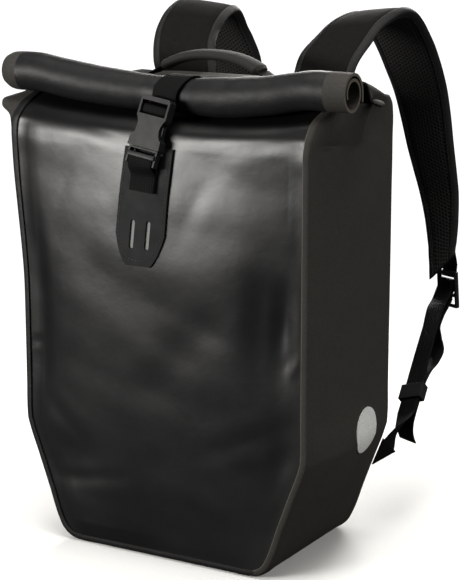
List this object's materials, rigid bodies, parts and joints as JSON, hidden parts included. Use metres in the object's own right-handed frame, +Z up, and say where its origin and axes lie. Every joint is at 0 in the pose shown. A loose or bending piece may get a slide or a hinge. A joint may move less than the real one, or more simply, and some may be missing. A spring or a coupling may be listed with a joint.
{
  "type": "bicycle messenger backpack",
  "caption": "Roll-top backpack with a chamfered body, a front buckle closure, a carry handle and padded shoulder straps on adjustable webbing.",
  "frame": {"origin": "middle of the base, on the surface that the bag stands on", "axes": "+Z up, -Y out of the front panel with the buckle, +Y towards the wearer's back, +X to the right as the front is looked at"},
  "size_m": [0.3784, 0.3849, 0.4898],
  "materials": {
    "coated": "smooth coated fabric with a soft sheen, black",
    "matte": "matte laminated fabric, warm dark grey",
    "padded": "padded strap, smooth charcoal cloth outside, spacer mesh inside, black binding",
    "webbing": "ribbed black webbing",
    "plastic": "satin dark grey moulded plastic",
    "patch": "matte rubber-coated patch",
    "grip": "padded grip in grey cloth",
    "reflective": "light grey reflective film"
  },
  "bodies": {
    "root": {"adjuster_webbing_left": "webbing", "adjuster_webbing_right": "webbing", "anchor_tab_left": "matte", "anchor_tab_right": "matte", "back_panel": "matte", "buckle_female": "plastic", "buckle_male": "plastic", "closure_patch": "patch", "closure_webbing_lower": "webbing", "closure_webbing_upper": "webbing", "fold_tab_left": "matte", "fold_tab_right": "matte", "front_panel": "coated", "gusset": "matte", "handle_grip": "grip", "handle_webbing_left": "webbing", "handle_webbing_right": "webbing", "keeper_left": "webbing", "keeper_right": "webbing", "ladder_lock_left": "plastic", "ladder_lock_right": "plastic", "lock_stub_left": "webbing", "lock_stub_right": "webbing", "roll_top": "coated", "shoulder_strap_left": "padded", "shoulder_strap_right": "padded", "side_badge": "reflective"}
  },
  "joints": []
}
